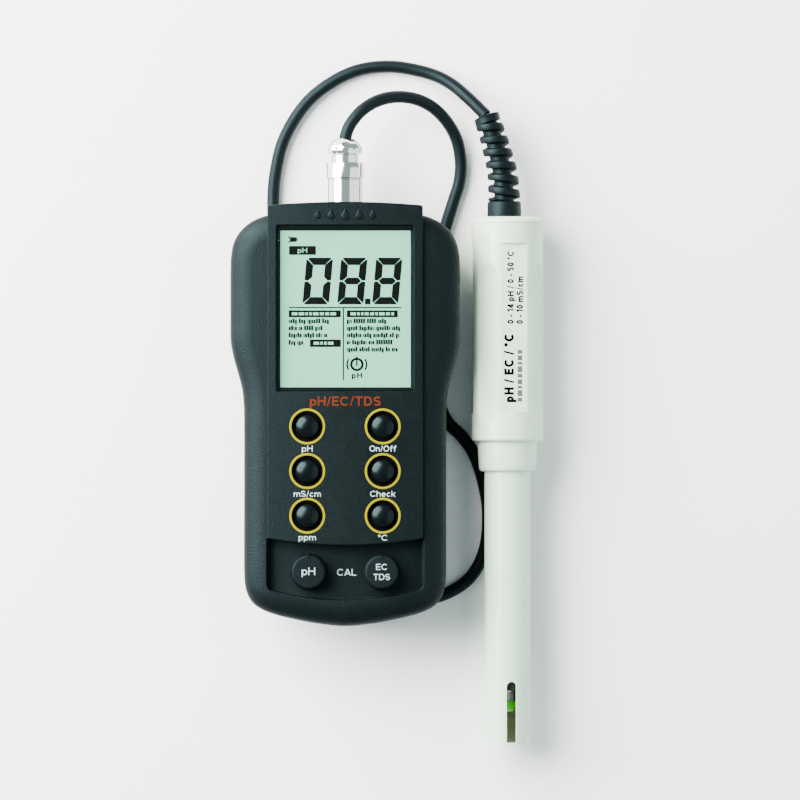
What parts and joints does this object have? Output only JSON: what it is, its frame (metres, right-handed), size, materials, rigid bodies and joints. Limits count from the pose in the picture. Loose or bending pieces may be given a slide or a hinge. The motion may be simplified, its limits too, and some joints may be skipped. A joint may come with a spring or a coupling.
{
  "type": "handheld water quality meter with probe",
  "caption": "Handheld water tester with a display, domed keys, adjusting knobs and a slotted combined pH and conductivity probe on a thin cable with a bayonet plug.",
  "frame": {"origin": "centre of the flat back face of the hump on the meter's rear case, on the surface that it lies on", "axes": "+X to the right of the display, +Y towards the socket end, +Z out of the keys and display"},
  "size_m": [0.1098, 0.2409, 0.0376],
  "materials": {
    "case_dark": "fine satin texture",
    "rubber_black": "matt",
    "steel": "satin",
    "window_clear": "clear gloss",
    "frame_black": "satin",
    "lcd": "pale green reflective",
    "strip_pink": "matt",
    "pcb_green": "solder mask",
    "ring_yellow": "satin",
    "key_black": "high gloss",
    "knob_dark": "satin",
    "pot_white": "satin",
    "pot_blue": "gloss",
    "battery_skin": "gloss",
    "nickel": "bright nickel",
    "insulator_white": "satin",
    "gold": "bright",
    "cable_grey": "matt",
    "boot_black": "satin",
    "probe_pale": "satin",
    "label_pale": "satin",
    "gel": "soft gel",
    "seal_olive": "satin",
    "glass_clear": "clear",
    "bulb_green": "gloss",
    "graphite": "matt graphite"
  },
  "bodies": {
    "meter": {"front_case": "case_dark", "rear_case": "case_dark", "case_gasket": "rubber_black", "case_screws": "steel", "display_window": "window_clear", "display_frame": "frame_black", "lcd_glass": "lcd", "contact_strips": "strip_pink", "main_board": "pcb_green", "board_screws": "steel", "key_mat": "rubber_black", "key_rings": "ring_yellow", "pot_bodies": "pot_blue", "battery": "battery_skin", "battery_snap": "rubber_black", "battery_pad": "rubber_black", "socket_shell": "nickel", "socket_insulator": "insulator_white", "socket_contact": "gold", "socket_nut": "nickel", "socket_gasket": "rubber_black", "cable": "cable_grey", "strain_relief": "boot_black", "relief_collar": "boot_black", "probe_handle": "probe_pale", "probe_cap": "probe_pale", "probe_label": "label_pale", "probe_collar": "probe_pale", "probe_shaft": "probe_pale", "cap_seal": "rubber_black", "shaft_seal": "rubber_black", "probe_board": "pcb_green", "probe_gel": "gel", "sensor_seal": "seal_olive", "glass_stem": "glass_clear", "ph_bulb": "bulb_green", "reference_junction": "insulator_white", "ec_pins": "graphite", "temp_sensor": "steel"},
    "knob_ph_body": {"knob_ph": "knob_dark", "pot_shaft_ph": "pot_white"},
    "knob_ec_body": {"knob_ec": "knob_dark", "pot_shaft_ec": "pot_white"},
    "battery_door_body": {"battery_door": "case_dark"},
    "plug": {"plug_body": "nickel", "plug_insulator": "insulator_white", "plug_pin": "gold", "cable_nut": "nickel", "cable_clamp": "rubber_black"},
    "ring_body": {"coupling_ring": "nickel"},
    "key_ph_body": {"key_ph": "key_black"},
    "key_power_body": {"key_power": "key_black"},
    "key_ms_body": {"key_ms": "key_black"},
    "key_check_body": {"key_check": "key_black"},
    "key_ppm_body": {"key_ppm": "key_black"},
    "key_temp_body": {"key_temp": "key_black"}
  },
  "joints": [
    {"name": "key_ph_press", "type": "slide", "parent": "meter", "child": "key_ph_body", "axis": [0, 0, -1], "range_m": [0, 0.001], "stiffness_N_per_m": 1200, "deforming": ["key_mat"]},
    {"name": "key_power_press", "type": "slide", "parent": "meter", "child": "key_power_body", "axis": [0, 0, -1], "range_m": [0, 0.001], "stiffness_N_per_m": 1200, "deforming": ["key_mat"]},
    {"name": "key_ms_press", "type": "slide", "parent": "meter", "child": "key_ms_body", "axis": [0, 0, -1], "range_m": [0, 0.001], "stiffness_N_per_m": 1200, "deforming": ["key_mat"]},
    {"name": "key_check_press", "type": "slide", "parent": "meter", "child": "key_check_body", "axis": [0, 0, -1], "range_m": [0, 0.001], "stiffness_N_per_m": 1200, "deforming": ["key_mat"]},
    {"name": "key_ppm_press", "type": "slide", "parent": "meter", "child": "key_ppm_body", "axis": [0, 0, -1], "range_m": [0, 0.001], "stiffness_N_per_m": 1200, "deforming": ["key_mat"]},
    {"name": "key_temp_press", "type": "slide", "parent": "meter", "child": "key_temp_body", "axis": [0, 0, -1], "range_m": [0, 0.001], "stiffness_N_per_m": 1200, "deforming": ["key_mat"]},
    {"name": "knob_ph_turn", "type": "hinge", "parent": "meter", "child": "knob_ph_body", "pos_m": [-0.0128, -0.0443, 0.034], "axis": [0, 0, 1], "range_deg": [-140, 140]},
    {"name": "knob_ec_turn", "type": "hinge", "parent": "meter", "child": "knob_ec_body", "pos_m": [0.0128, -0.0443, 0.034], "axis": [0, 0, 1], "range_deg": [-140, 140]},
    {"name": "battery_door_open", "type": "hinge", "parent": "meter", "child": "battery_door_body", "pos_m": [0, 0.0286, 0.0012], "axis": [1, 0, 0], "range_deg": [0, 95]},
    {"name": "plug_pull", "type": "slide", "parent": "meter", "child": "plug", "axis": [0, 1, 0], "range_m": [0, 0.012], "deforming": ["cable"]},
    {"name": "coupling_ring_turn", "type": "hinge", "parent": "plug", "child": "ring_body", "pos_m": [0, 0.092, 0.021], "axis": [0, 1, 0], "range_deg": [0, 90]}
  ]
}
